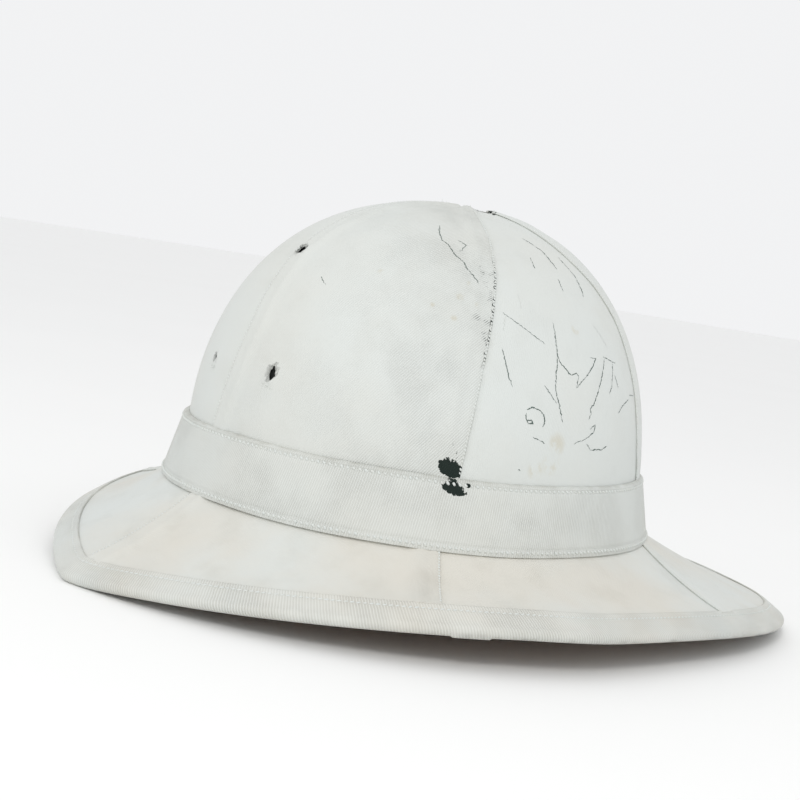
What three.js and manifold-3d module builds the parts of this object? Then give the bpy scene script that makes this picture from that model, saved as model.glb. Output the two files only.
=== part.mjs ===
// A pith helmet: a hollow cork crown on a broad sloping cork brim, covered in six cloth
// panels on the crown and six on the brim, with a cloth band round the foot of the crown
// and a tape turned round the brim's edge. Millimetres, +Z up, the front faces -Y, the
// wearer's left is +X. The origin is on the surface it stands on, under its middle.
import * as THREE from 'three';
import { mergeVertices } from 'three/addons/utils/BufferGeometryUtils.js';
import Module from 'manifold-3d';

// Foot of the crown, an oval a little longer behind than in front
const FOOT_HALF_WIDTH = 94.0;
const FOOT_FRONT = 96.0;
const FOOT_BACK = 109.2;
const FOOT_FULLNESS = 2.12;
// Crown above the band, and how far its top leans to the back
const CROWN_RISE = 106.1;
const CROWN_LEAN = 15.5;
// Fullness of the crown's outline up (rise) and across (reach) in three directions
const OUTLINE = {
  front: { rise: 2.92, reach: 2.64 },
  side: { rise: 2.03, reach: 1.77 },
  back: { rise: 1.66, reach: 2.49 },
};
const APEX_HOLE_R = 7.0;
const PANEL_TOP_R = 8.0;
// Band round the foot: it widens downwards
const BAND_HEIGHT = 26.0;
const BAND_FLARE = 5.9;
const BAND_THICK = 1.2;
// Brim edge in plan, and its height below the band at front, sides and back
const EDGE_HALF_WIDTH = 141.4;
const EDGE_FRONT = 148.4;
const EDGE_BACK = 188.4;
const PEAK_REACH = 8.1;
const PEAK_SPREAD = 13.7;
const EDGE_POWER_FRONT = 1.124;
const EDGE_POWER_BACK = 0.769;
const EDGE_DROP = { front: 32.9, side: 20.9, back: 31.7 };
const EDGE_WAVE = 3.4;
const BRIM_SAG = 1.9;
// Share of the brim's run, out from the foot, where its cloth starts
const BRIM_START = 0.05;
// Tape round the edge: its reach in from the edge and the round bead it makes
const TAPE_REACH = 7.6;
const TAPE_RISE = 6.7;
const BEAD_R = 2.45;
const TAPE_THICK = 0.9;
const TAPE_PROUD = 0.5;
// Materials' thickness
const CLOTH = 1.0;
const CORK = 4.0;
const CORK_AT_EDGE = 2.3;
const GAP = 0.4;
const COVER = CLOTH + GAP;
const LAP = 0.7;
const LAP_WIDTH = 11;
// Seams, in degrees from the front about the foot oval; even panels lap over odd ones
const CROWN_SEAMS = [-1.5, 65.5, 122.3, 181.5, 237.7, 294.5];
const BRIM_SEAMS = [-1.5, 62.4, 126.7, 181.5, 233.3, 297.6];
// Badge holes: degrees round, millimetres down the crown from its top, radius
const BADGE_HOLES = [
  { turn: -0.5, down: 94, r: 2.2 },
  { turn: -12.5, down: 148.5, r: 1.4 },
  { turn: 12, down: 149, r: 1.9 },
];
const HOLE_SIDES = 12;
// Mesh steps
const SHELL_STEPS = 60;
const CROWN_ROWS = 10;
const BRIM_ROWS = 3;
const PANEL_COLUMNS = 8;
const OUTLINE_STEPS = 160;

const rad = (degrees) => (degrees * Math.PI) / 180;
const mix = (a, b, u) => a + (b - a) * u;
const power = (v, e) => Math.sign(v) * Math.abs(v) ** e;
const smooth = (lo, hi, v) => {
  const u = Math.min(Math.max((v - lo) / (hi - lo), 0), 1);
  return u * u * (3 - 2 * u);
};

// Foot oval at a turn, grown outwards by `out`
function foot(turn, out, z) {
  const s = Math.sin(rad(turn));
  const c = Math.cos(rad(turn));
  const e = 2 / FOOT_FULLNESS;
  const length = c > 0 ? FOOT_FRONT : FOOT_BACK;
  const x = (FOOT_HALF_WIDTH + out) * power(s, e);
  const y = -(length + out) * power(c, e);
  return new THREE.Vector3(x, y, z);
}

// Share of the foot's reach left at a share of the rise
function reachLeft(turn, share) {
  const c = Math.cos(rad(turn));
  const end = c > 0 ? OUTLINE.front : OUTLINE.back;
  const left = (o) => Math.max(1 - share ** o.rise, 0) ** (1 / o.reach);
  return c * c * left(end) + (1 - c * c) * left(OUTLINE.side);
}

// The crown's outline at one turn, top to foot, as points with their distance from the top
function outline(turn) {
  const points = [];
  for (let i = 0; i <= OUTLINE_STEPS; i += 1) {
    const share = Math.cos((Math.PI / 2) * (i / OUTLINE_STEPS) ** 1.2);
    const left = reachLeft(turn, share);
    const p = foot(turn, 0, 0).multiplyScalar(left);
    p.y += CROWN_LEAN * share ** 1.5;
    p.z = BAND_HEIGHT + CROWN_RISE * share;
    points.push(p);
  }
  const far = [0];
  for (let i = 1; i < points.length; i += 1) {
    far.push(far[i - 1] + points[i].distanceTo(points[i - 1]));
  }
  return { points, far };
}

const outlines = new Map();
function outlineAt(turn) {
  const key = turn.toFixed(4);
  if (!outlines.has(key)) {
    outlines.set(key, outline(turn));
  }
  return outlines.get(key);
}

// Point on the crown's cloth, `down` millimetres along the outline from the top
function crownPoint(turn, down) {
  const { points, far } = outlineAt(turn);
  const total = far[far.length - 1];
  if (down >= total) {
    const z = BAND_HEIGHT - (down - total);
    return foot(turn, BAND_FLARE * (1 - z / BAND_HEIGHT), z);
  }
  let i = 1;
  while (far[i] < down) {
    i += 1;
  }
  const u = (down - far[i - 1]) / (far[i] - far[i - 1]);
  return points[i - 1].clone().lerp(points[i], u);
}

const crownLength = (turn) => {
  const { far } = outlineAt(turn);
  return far[far.length - 1];
};

// Outward direction of a surface given as a function of turn and distance
function outward(surface, turn, down, downStep) {
  const across = surface(turn + 1, down).sub(surface(turn - 1, down));
  const along = surface(turn, down + downStep).sub(surface(turn, down - downStep));
  return along.cross(across).normalize();
}

const crownOut = (turn, down) => outward(crownPoint, turn, Math.max(down, 3), 1.5);

// Turn at the brim's edge that a turn at the foot runs out to
const edgeTurn = (turn) => turn - 12.7 * Math.sin(rad(turn)) + 9.8 * Math.sin(rad(2 * turn));

// Middle of the bead at the brim's edge, or a point `reach` in from it
function edgePoint(turn, reach) {
  const t = ((((turn + 180) % 360) + 360) % 360) - 180;
  const s = Math.sin(rad(t));
  const c = Math.cos(rad(t));
  const e = mix(EDGE_POWER_BACK, EDGE_POWER_FRONT, smooth(-0.35, 0.35, c));
  const length = c > 0 ? EDGE_FRONT : EDGE_BACK;
  const peak = PEAK_REACH * Math.exp(-Math.hypot(t, 2) / PEAK_SPREAD);
  const end = c > 0 ? EDGE_DROP.front : EDGE_DROP.back;
  const near = Math.min(Math.abs(t), 180 - Math.abs(t));
  const wave = EDGE_WAVE * Math.sin(rad(2 * Math.abs(t))) * (1 - Math.exp(-((near / 10) ** 2)));
  const z = -EDGE_DROP.side - (end - EDGE_DROP.side) * c * c + wave;
  const x = (EDGE_HALF_WIDTH - reach) * power(s, e);
  const y = -(length - reach + peak) * power(c, e);
  return new THREE.Vector3(x, y, z);
}

// Point on the brim's cloth, `share` of the way from the foot to the tape
function brimPoint(turn, share) {
  const a = foot(turn, BAND_FLARE, 0);
  const b = edgePoint(edgeTurn(turn), TAPE_REACH);
  b.z += TAPE_RISE;
  const p = a.lerp(b, share);
  p.z -= BRIM_SAG * 4 * share * (1 - share);
  return p;
}

const brimOut = (turn, share) => outward(brimPoint, turn, share, 0.02);

// A closed skin from a ring of loops: `loops[j][i]`, i round each loop
function skin(loops, closedAlong) {
  const position = [];
  const index = [];
  const count = loops[0].length;
  loops.forEach((loop) => loop.forEach((p) => position.push(p.x, p.y, p.z)));
  const rows = loops.length;
  for (let j = 0; j < (closedAlong ? rows : rows - 1); j += 1) {
    const next = (j + 1) % rows;
    for (let i = 0; i < count; i += 1) {
      const k = (i + 1) % count;
      const a = j * count + i;
      const b = j * count + k;
      const c = next * count + k;
      const d = next * count + i;
      index.push(a, b, c, a, c, d);
    }
  }
  const geometry = new THREE.BufferGeometry();
  geometry.setAttribute('position', new THREE.Float32BufferAttribute(position, 3));
  geometry.setIndex(index);
  return geometry;
}

// A closed slab between an outer and an inner grid of points, `grid[row][column]`
function slab(outer, inner) {
  const loops = inner.map((row, j) => [...row, ...outer[j].slice().reverse()]);
  const geometry = skin(loops, false);
  const index = Array.from(geometry.index.array);
  const count = loops[0].length;
  const columns = outer[0].length;
  const last = (loops.length - 1) * count;
  for (let i = 0; i < columns - 1; i += 1) {
    const a = i;
    const b = i + 1;
    const c = count - 2 - i;
    const d = count - 1 - i;
    index.push(a, c, b, a, d, c);
    index.push(last + a, last + b, last + c, last + a, last + c, last + d);
  }
  geometry.setIndex(index);
  return geometry;
}

// Loops round the whole helmet: profile(turn) gives one closed section
function loft(profile) {
  const loops = [];
  for (let i = 0; i < SHELL_STEPS; i += 1) {
    loops.push(profile((360 * i) / SHELL_STEPS));
  }
  return skin(loops, true);
}

const crownDown = (turn, share) => mix(PANEL_TOP_R, crownLength(turn), share);

// Points round the bead at the brim's edge, at angles up from straight out
function beadRound(turn, r, angles) {
  const edge = edgePoint(edgeTurn(turn), 0);
  const run = edge.clone().sub(brimPoint(turn, 1)).setZ(0).normalize();
  return angles.map((angle) => {
    const p = edge.clone().addScaledVector(run, r * Math.cos(rad(angle)));
    return p.setZ(edge.z + r * Math.sin(rad(angle)));
  });
}

// Section of the cork crown at a turn, down to the foot
function crownSection(turn) {
  const outer = [];
  const inner = [];
  for (let j = 0; j <= CROWN_ROWS; j += 1) {
    const down = mix(APEX_HOLE_R, crownLength(turn), j / CROWN_ROWS);
    const p = crownPoint(turn, down);
    const n = crownOut(turn, down);
    outer.push(p.clone().addScaledVector(n, -COVER));
    inner.push(p.clone().addScaledVector(n, -COVER - CORK));
  }
  outer.push(foot(turn, BAND_FLARE - COVER, 0));
  inner.push(foot(turn, BAND_FLARE - COVER - CORK, 0));
  return [...outer, ...inner.reverse()];
}

// Section of the cork brim at a turn, from under the crown's foot to its round edge
function brimSection(turn) {
  const outer = [foot(turn, BAND_FLARE - COVER, -GAP)];
  const inner = [foot(turn, BAND_FLARE - COVER - CORK, -GAP)];
  for (let j = 0; j <= BRIM_ROWS; j += 1) {
    const share = j / BRIM_ROWS;
    const p = brimPoint(turn, share);
    const n = brimOut(turn, share);
    const thick = mix(CORK, CORK_AT_EDGE, share);
    outer.push(p.clone().addScaledVector(n, -COVER));
    inner.push(p.clone().addScaledVector(n, -COVER - thick));
  }
  const tip = beadRound(turn, BEAD_R - TAPE_THICK - GAP, [100, 20, -60, -120]);
  return [...outer, ...tip, ...inner.reverse()];
}

// Section of the tape turned over the brim's edge
function tapeSection(turn) {
  const edge = edgePoint(edgeTurn(turn), 0);
  const tape = brimPoint(turn, 1);
  const n = brimOut(turn, 1);
  const run = edge.clone().sub(tape).setZ(0).normalize();
  const from = tape.clone().addScaledVector(run, 1.5 * GAP);
  const deep = COVER + CORK_AT_EDGE + GAP;
  const raised = (height) => from.clone().addScaledVector(n, height);
  const outer = beadRound(turn, BEAD_R, [75, 30, -10, -50, -100]);
  const inner = beadRound(turn, BEAD_R - TAPE_THICK, [-120, -60, 20, 100]);
  const under = [raised(-deep - TAPE_THICK), raised(-deep)];
  return [raised(TAPE_PROUD), ...outer, ...under, ...inner, raised(-CLOTH)];
}

// Section of the band round the foot
function bandSection(turn) {
  const at = (out, z) => foot(turn, out + BAND_FLARE * (1 - z / BAND_HEIGHT), z);
  const low = GAP;
  const inner = GAP + LAP;
  const outer = inner + BAND_THICK;
  return [at(inner, BAND_HEIGHT), at(outer, BAND_HEIGHT), at(outer, low), at(inner, low)];
}

// Columns of a panel from its first seam to its next, raised where it laps over
function columns(over, width) {
  const m = Math.min(LAP_WIDTH / width, 0.3);
  const list = over ? [[0, LAP], [m, LAP], [m + 0.03, 0]] : [[0, 0]];
  const from = over ? m + 0.03 : 0;
  for (let i = 1; i < PANEL_COLUMNS; i += 1) {
    list.push([mix(from, 1 - from, i / PANEL_COLUMNS), 0]);
  }
  return over ? [...list, [1 - m - 0.03, 0], [1 - m, LAP], [1, LAP]] : [...list, [1, 0]];
}

// A cloth panel: rows of points from the top or foot, out to its lower edge
function panel(surface, out, start, end, rows, over) {
  const outer = [];
  const inner = [];
  rows.forEach(({ place, lift }) => {
    const a = surface(start, place(start));
    const width = a.distanceTo(surface(end, place(end))) + 0.01;
    const half = Math.min((GAP / 2 / width) * 1.3, 0.1);
    const top = [];
    const under = [];
    columns(over, width).forEach(([u, raise]) => {
      const turn = mix(start, end, mix(half, 1 - half, u));
      const p = surface(turn, place(turn));
      const n = out(turn, place(turn));
      top.push(p.clone().addScaledVector(n, raise).setZ(p.z + n.z * raise + lift));
      under.push(p.clone().addScaledVector(n, -CLOTH).setZ(p.z - n.z * CLOTH + lift));
    });
    outer.push(top);
    inner.push(under);
  });
  return slab(outer, inner);
}

const crownRows = [];
for (let j = 0; j <= CROWN_ROWS; j += 1) {
  crownRows.push({ place: (turn) => crownDown(turn, j / CROWN_ROWS), lift: 0 });
}
crownRows.push({ place: (turn) => crownLength(turn) + BAND_HEIGHT - GAP, lift: 0 });

const brimRows = [];
for (let j = 0; j <= BRIM_ROWS; j += 1) {
  brimRows.push({ place: () => mix(BRIM_START, 1, j / BRIM_ROWS), lift: 0 });
}

// Geometry and solids
const wasm = await Module();
wasm.setup();

function solidOf(geometry) {
  const bare = geometry.clone();
  bare.deleteAttribute('normal');
  bare.deleteAttribute('uv');
  const merged = mergeVertices(bare, 1e-4);
  const mesh = new wasm.Mesh({
    numProp: 3,
    vertProperties: new Float32Array(merged.attributes.position.array),
    triVerts: new Uint32Array(merged.index.array),
  });
  return new wasm.Manifold(mesh);
}

function geometryOf(solid) {
  const mesh = solid.getMesh();
  const geometry = new THREE.BufferGeometry();
  geometry.setAttribute('position', new THREE.BufferAttribute(mesh.vertProperties, 3));
  geometry.setIndex(new THREE.BufferAttribute(mesh.triVerts, 1));
  return geometry;
}

// Drills for the badge holes, square to the crown
function drill({ turn, down, r }) {
  const geometry = new THREE.CylinderGeometry(r, r, 4 * CORK, HOLE_SIDES);
  const n = crownOut(turn, down);
  const up = new THREE.Vector3(0, 1, 0);
  geometry.applyQuaternion(new THREE.Quaternion().setFromUnitVectors(up, n));
  const p = crownPoint(turn, down).addScaledVector(n, -CORK / 2);
  geometry.translate(p.x, p.y, p.z);
  return solidOf(geometry);
}
const drills = BADGE_HOLES.map(drill);
const drilled = (geometry) => geometryOf(drills.reduce((s, d) => s.subtract(d), solidOf(geometry)));

const cork = { color: 0x8a6a45, roughness: 0.95, metalness: 0 };
const paintedCloth = { color: 0xe6e8e4, roughness: 0.6, metalness: 0 };
const helmet = new THREE.Group();

// The lowest point of the bead stands on the ground, and the middle of the length is over it
let lowest = 0;
for (let turn = 0; turn < 360; turn += 360 / SHELL_STEPS) {
  lowest = Math.min(lowest, edgePoint(edgeTurn(turn), 0).z - BEAD_R);
}
const tipPoint = edgePoint(0, 0);
const shiftY = -(tipPoint.y + EDGE_BACK) / 2;

function add(name, geometry, look) {
  geometry.translate(0, shiftY, -lowest);
  const mesh = new THREE.Mesh(geometry, new THREE.MeshStandardMaterial(look));
  mesh.name = name;
  helmet.add(mesh);
}

add('crown_shell', drilled(loft(crownSection)), cork);
add('brim_shell', loft(brimSection), cork);
const seamEnds = (seams, k) => [seams[k], k < 5 ? seams[k + 1] : seams[0] + 360];
CROWN_SEAMS.forEach((_, k) => {
  const [start, end] = seamEnds(CROWN_SEAMS, k);
  const cloth = panel(crownPoint, crownOut, start, end, crownRows, k % 2 === 0);
  add(`crown_panel_${k + 1}`, drilled(cloth), paintedCloth);
});
BRIM_SEAMS.forEach((_, k) => {
  const [start, end] = seamEnds(BRIM_SEAMS, k);
  const cloth = panel(brimPoint, brimOut, start, end, brimRows, k % 2 === 0);
  add(`brim_panel_${k + 1}`, cloth, paintedCloth);
});
add('hat_band', loft(bandSection), paintedCloth);
add('edge_binding', loft(tapeSection), paintedCloth);

export default helmet;
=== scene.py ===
# %% [markdown]
# # An old pith helmet
#
# A pith helmet is a light cork bowl on a sloping cork brim, covered in twill cloth.
# The crown wears six cloth panels, the brim six more. A folded band hides the foot of
# the crown and a ribbed tape is turned round the brim's edge. This one was painted
# white over its dark cloth, and the paint has since cracked and chipped.
#
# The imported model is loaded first. Everything here is made in metres, in its frame.

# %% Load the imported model
import math
import random

import bmesh
import bpy
import numpy as np
from mathutils import Matrix, Vector


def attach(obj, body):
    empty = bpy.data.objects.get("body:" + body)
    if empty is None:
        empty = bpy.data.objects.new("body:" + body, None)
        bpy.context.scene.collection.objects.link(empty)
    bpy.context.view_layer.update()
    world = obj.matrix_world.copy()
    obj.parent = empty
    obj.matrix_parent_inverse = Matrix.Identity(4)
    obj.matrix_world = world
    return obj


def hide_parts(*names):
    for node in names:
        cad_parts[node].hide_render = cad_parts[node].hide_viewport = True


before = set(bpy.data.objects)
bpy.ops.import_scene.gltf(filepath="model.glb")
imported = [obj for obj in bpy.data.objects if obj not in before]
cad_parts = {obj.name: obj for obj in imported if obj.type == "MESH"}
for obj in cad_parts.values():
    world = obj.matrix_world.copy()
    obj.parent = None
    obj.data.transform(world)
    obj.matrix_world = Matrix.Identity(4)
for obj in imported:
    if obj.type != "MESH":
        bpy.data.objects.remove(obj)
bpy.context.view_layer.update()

# %% [markdown]
# ## The helmet's shape as functions
#
# A hat has no flat side to measure from, so its form is kept as a few functions, in
# millimetres. A place on the crown is a turn, in degrees from the front about the foot
# oval, and a distance down from the top. A place on the brim is a turn and a share of
# the way from the foot to the tape. Every cloth piece is then laid on these surfaces.

# %% Sizes of the foot oval, crown, band and brim
MM = 0.001
HALF_WIDTH, FRONT, BACK, FULLNESS = 94.0, 96.0, 109.2, 2.12
RISE, LEAN = 106.1, 15.5
RISE_POWER = {"front": 2.92, "side": 2.03, "back": 1.66}
REACH_POWER = {"front": 2.64, "side": 1.77, "back": 2.49}
BAND_HEIGHT, FLARE = 26.0, 5.9
EDGE_HALF_WIDTH, EDGE_FRONT, EDGE_BACK = 141.4, 148.4, 188.4
PEAK, PEAK_SPREAD = 8.1, 13.7
EDGE_POWER = {"front": 1.124, "back": 0.769}
DROP = {"front": 32.9, "side": 20.9, "back": 31.7}
WAVE, SAG = 3.4, 1.9
TAPE_REACH, TAPE_RISE, BEAD = 7.6, 6.7, 2.45
CLOTH, CORK, GAP = 1.0, 4.0, 0.4


def wrap(turn):
    return (np.asarray(turn, float) + 180) % 360 - 180


def power(value, exponent):
    return np.sign(value) * np.abs(value) ** exponent


def smooth(lo, hi, value):
    u = np.clip((value - lo) / (hi - lo), 0, 1)
    return u * u * (3 - 2 * u)


def points(x, y, z):
    return np.stack(np.broadcast_arrays(x, y, z), -1).astype(float)


def foot(turn, out, z):
    """The foot oval, grown outwards by `out`."""
    s, c = np.sin(np.radians(turn)), np.cos(np.radians(turn))
    length = np.where(c > 0, FRONT, BACK)
    e = 2 / FULLNESS
    return points((HALF_WIDTH + out) * power(s, e), -(length + out) * power(c, e), z)


def reach_left(turn, share):
    """How much of the foot's reach is left at a share of the crown's rise."""
    c = np.cos(np.radians(turn))
    left = {
        k: np.maximum(1 - share ** RISE_POWER[k], 0) ** (1 / REACH_POWER[k])
        for k in RISE_POWER
    }
    end = np.where(c > 0, left["front"], left["back"])
    return c * c * end + (1 - c * c) * left["side"]


def at_share(turn, share):
    p = foot(turn, 0, 0.0) * reach_left(turn, share)[..., None]
    p[..., 1] += LEAN * share**1.5
    p[..., 2] = BAND_HEIGHT + RISE * share
    return p


# Distances down the crown, tabulated once for every degree of turn
STEPS, DEPTHS = 240, np.arange(0.0, 200.0, 1.0)
fine = np.linspace(0, 1, STEPS + 1)
length_at, share_at = [], []
for degree in range(361):
    p = at_share(np.full(STEPS + 1, float(degree)), np.cos(np.pi / 2 * fine**1.2))
    far = np.concatenate([[0], np.cumsum(np.linalg.norm(np.diff(p, axis=0), axis=1))])
    length_at.append(far[-1])
    share_at.append(np.interp(DEPTHS, far, fine))
length_at, share_at = np.array(length_at), np.array(share_at)


def crown_length(turn):
    return np.interp(np.asarray(turn, float) % 360, np.arange(361), length_at)


def crown(turn, down):
    """A point on the crown's cloth, `down` from the top, on down behind the band."""
    turn, down = np.broadcast_arrays(np.asarray(turn, float), np.asarray(down, float))
    total = crown_length(turn)
    a = turn % 360
    i = np.minimum(a.astype(int), 359)
    d = np.clip(np.minimum(down, total), 0, 198.9)
    j = d.astype(int)
    u, v = a - i, d - j
    w = (
        share_at[i, j] * (1 - u) * (1 - v)
        + share_at[i + 1, j] * u * (1 - v)
        + share_at[i, j + 1] * (1 - u) * v
        + share_at[i + 1, j + 1] * u * v
    )
    w = np.where(down >= total, 1.0, np.minimum(w, 1.0))
    upper = at_share(turn, np.cos(np.pi / 2 * w**1.2))
    z = BAND_HEIGHT - (down - total)
    lower = foot(turn, FLARE * (1 - z / BAND_HEIGHT), z)
    return np.where((down >= total)[..., None], lower, upper)


def edge_turn(turn):
    """The turn at the brim's edge that a turn at the foot runs out to."""
    t = np.radians(turn)
    return turn - 12.7 * np.sin(t) + 9.8 * np.sin(2 * t)


def edge(turn, reach=0.0):
    """The middle of the bead at the brim's edge, or a place `reach` in from it."""
    t = wrap(turn)
    s, c = np.sin(np.radians(t)), np.cos(np.radians(t))
    e = EDGE_POWER["back"] + (EDGE_POWER["front"] - EDGE_POWER["back"]) * smooth(-0.35, 0.35, c)
    length = np.where(c > 0, EDGE_FRONT, EDGE_BACK)
    peak = PEAK * np.exp(-np.hypot(t, 2) / PEAK_SPREAD)
    end = np.where(c > 0, DROP["front"], DROP["back"])
    near = np.minimum(np.abs(t), 180 - np.abs(t))
    wave = WAVE * np.sin(np.radians(2 * np.abs(t))) * (1 - np.exp(-((near / 10) ** 2)))
    z = -DROP["side"] - (end - DROP["side"]) * c * c + wave
    x = (EDGE_HALF_WIDTH - reach) * power(s, e)
    return points(x, -(length - reach + peak) * power(c, e), z)


def brim(turn, share):
    """A point on the brim's cloth, `share` of the way from the foot to the tape."""
    turn, share = np.broadcast_arrays(np.asarray(turn, float), np.asarray(share, float))
    a = foot(turn, FLARE, 0.0)
    b = edge(edge_turn(turn), TAPE_REACH) + np.array([0, 0, TAPE_RISE])
    p = a + (b - a) * share[..., None]
    p[..., 2] -= SAG * 4 * share * (1 - share)
    return p


def outward(surface, turn, place, step):
    """Unit normals of a surface given by a function of turn and place."""
    across = surface(turn + 0.5, place) - surface(turn - 0.5, place)
    along = surface(turn, place + step) - surface(turn, place - step)
    n = np.cross(along, across)
    return n / np.linalg.norm(n, axis=-1, keepdims=True)


def crown_out(turn, down):
    return outward(crown, turn, np.maximum(down, 3.0), 1.0)


def brim_out(turn, share):
    return outward(brim, turn, share, 0.01)


# Holes left by a badge's fixings: turn, down, half width, half height
HOLES = [(-0.3, 94.0, 3.4, 2.8), (-12.5, 148.5, 1.6, 2.1), (12.0, 149.0, 2.3, 3.1)]

# The lowest part of the bead stands on the ground, with the middle of the length over it
all_round = np.arange(0.0, 360.0, 1.0)
LIFT = BEAD - edge(all_round)[:, 2].min()
SHIFT = -(edge(0.0)[1] + EDGE_BACK) / 2
PLACE = np.array([0, SHIFT, LIFT])
print("crown length front, side, back in mm", crown_length([0, 90, 180]).round(1))

# %% [markdown]
# ## Camera, light and floor
#
# A hat is seen best a little from above and to one side of its front peak. The camera
# looks along a line 50 degrees round to the wearer's left and is rolled a little. The
# light is soft and comes mostly from the upper left, so the raised seams catch it.

# %% Camera
TURN, HEIGHT, ROLL = math.radians(50.65), math.radians(5.51), math.radians(8.94)
DISTANCE, RIGHTWARD, UPWARD, LENS, SENSOR = 624.1, 0.9, 43.56, 62.57, 36.0

back = Vector((
    math.sin(TURN) * math.cos(HEIGHT),
    -math.cos(TURN) * math.cos(HEIGHT),
    math.sin(HEIGHT),
))
level = (-back).cross(Vector((0, 0, 1))).normalized()
over = level.cross(-back)
right = level * math.cos(ROLL) + over * math.sin(ROLL)
up = over * math.cos(ROLL) - level * math.sin(ROLL)
eye = (back * DISTANCE + right * RIGHTWARD + up * UPWARD + Vector(PLACE)) * MM
camera = bpy.data.objects.new("camera", bpy.data.cameras.new("camera"))
bpy.context.scene.collection.objects.link(camera)
camera.matrix_world = Matrix.Translation(eye) @ Matrix((right, up, back)).transposed().to_4x4()
camera.data.lens, camera.data.sensor_width = LENS, SENSOR
camera.data.clip_start, camera.data.clip_end = 0.01, 50
bpy.context.scene.camera = camera
print("camera", round(eye.z * 1000), "mm above the floor")

# %% Lights and world
def area_light(name, azimuth, elevation, far, size, watts, colour):
    lamp = bpy.data.lights.new(name, "AREA")
    lamp.shape, lamp.size, lamp.energy, lamp.color = "DISK", size, watts, colour
    ob = bpy.data.objects.new(name, lamp)
    a, e = math.radians(azimuth), math.radians(elevation)
    ob.location = far * Vector((
        math.sin(a) * math.cos(e), -math.cos(a) * math.cos(e), math.sin(e)
    ))
    ob.rotation_euler = ob.location.to_track_quat("Z", "Y").to_euler()
    bpy.context.scene.collection.objects.link(ob)


area_light("key", 40, 40, 1.6, 0.4, 5.2, (1.0, 0.995, 0.98))
area_light("fill", 90, 50, 2.0, 1.2, 0.6, (0.97, 0.99, 1.0))
world = bpy.data.worlds.new("studio")
bpy.context.scene.world = world
world.use_nodes = True
world.node_tree.nodes["Background"].inputs["Color"].default_value = (0.985, 0.99, 1.0, 1)
world.node_tree.nodes["Background"].inputs["Strength"].default_value = 0.9
bpy.context.scene.view_settings.view_transform = "Standard"

# %% [markdown]
# ## Shader helper
#
# The finishes below are sums of masks and noises. A small class wraps a socket, so an
# expression such as `1 - mask * 0.5` adds its Math nodes by itself. One method makes
# every other node from its type, its settings and the values or links of its sockets.

# %% Shader helper
class Sock:
    """A value in a shader, on which ordinary arithmetic adds Math nodes."""

    def __init__(self, tree, socket):
        self.tree, self.socket = tree, socket

    def math(self, operation, *others):
        values = dict(enumerate((self, *others)))
        return self.tree.node("ShaderNodeMath", {"operation": operation}, values)

    def __add__(self, other):
        return self.math("ADD", other)

    __radd__ = __add__

    def __sub__(self, other):
        return self.math("SUBTRACT", other)

    def __rsub__(self, other):
        return (self * -1).math("ADD", other)

    def __mul__(self, other):
        return self.math("MULTIPLY", other)

    __rmul__ = __mul__

    def step(self, lo, hi):
        """0 below lo, 1 above hi and smooth between; lo above hi turns it round."""
        values = {0: self, 1: lo, 2: hi}
        kind = {"interpolation_type": "SMOOTHSTEP", "clamp": True}
        if lo > hi:
            return 1 - self.step(hi, lo)
        return self.tree.node("ShaderNodeMapRange", kind, values)


class Shader:
    """One material's nodes."""

    def __init__(self, name):
        self.material = bpy.data.materials.new(name)
        self.material.use_nodes = True
        self.nodes = self.material.node_tree.nodes
        self.links = self.material.node_tree.links
        self.surface = self.nodes["Principled BSDF"]

    def node(self, kind, settings=None, values=None, out=0):
        made = self.nodes.new(kind)
        for key, value in (settings or {}).items():
            setattr(made, key, value)
        for key, value in (values or {}).items():
            self.put(made.inputs[key], value)
        return Sock(self, made.outputs[out])

    def put(self, socket, value):
        if isinstance(value, Sock):
            self.links.new(value.socket, socket)
        else:
            socket.default_value = value

    def mix(self, factor, a, b):
        made = self.nodes.new("ShaderNodeMix")
        made.data_type = "RGBA"
        for socket, value in ((made.inputs[0], factor), (made.inputs[6], a), (made.inputs[7], b)):
            self.put(socket, value)
        return Sock(self, made.outputs[2])

    def place(self):
        return self.node("ShaderNodeTexCoord", out="Object")

    def noise(self, scale, detail=4.0, rough=0.55, at=None):
        values = {"Scale": scale, "Detail": detail, "Roughness": rough}
        values["Vector"] = at or self.place()
        return self.node("ShaderNodeTexNoise", {}, values)

    def attribute(self, name):
        return self.node("ShaderNodeAttribute", {"attribute_name": name}, out="Fac")

    def finish(self, colour, roughness, height=None, distance=0.0003, strength=1.0):
        self.put(self.surface.inputs["Base Color"], colour)
        self.put(self.surface.inputs["Roughness"], roughness)
        if height is not None:
            values = {"Height": height, "Distance": distance, "Strength": strength}
            bump = self.node("ShaderNodeBump", {}, values)
            self.links.new(bump.socket, self.surface.inputs["Normal"])
        return self.material


def shade(r, g, b):
    """A colour as read off a paint card, 0 to 255, made linear for the shader."""
    linear = [((v / 255 + 0.055) / 1.055) ** 2.4 for v in (r, g, b)]
    return (*linear, 1.0)


print("shader helper ready")

# %% [markdown]
# ## Finishes
#
# All the cloth is twill under the same brushed-on white paint. Twill is a weave with
# slanting ribs, so its bump is a fine wave across the cloth's own millimetres, `u`
# along a piece and `v` across it, softened where the paint has filled it. Broad noise
# gives the paint its uneven tint. `bare` marks where the paint is gone and the dark
# green cloth shows. The tape and the band have stronger ribs than the panels.

# %% Painted twill
PAINT = shade(214, 218, 215)
PAINT_WARM = shade(215, 211, 201)
# The grime colour also serves as painted shade: the twill mixes it into creases and rib valleys.
GRIME_AND_SHADE = shade(150, 146, 130)
DARK_CLOTH = shade(13, 24, 20)


def spots(s, places):
    """A mask of soft round spots at crown places, each with a radius in mm."""
    mask = None
    for turn, down, radius in places:
        middle = tuple((crown(turn, down) + PLACE) * MM)
        far = s.node("ShaderNodeVectorMath", {"operation": "DISTANCE"}, {0: s.place(), 1: middle}, "Value")
        spot = far.step(radius * MM, radius * 0.3 * MM)
        mask = spot if mask is None else mask.math("MAXIMUM", spot)
    return mask


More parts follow.
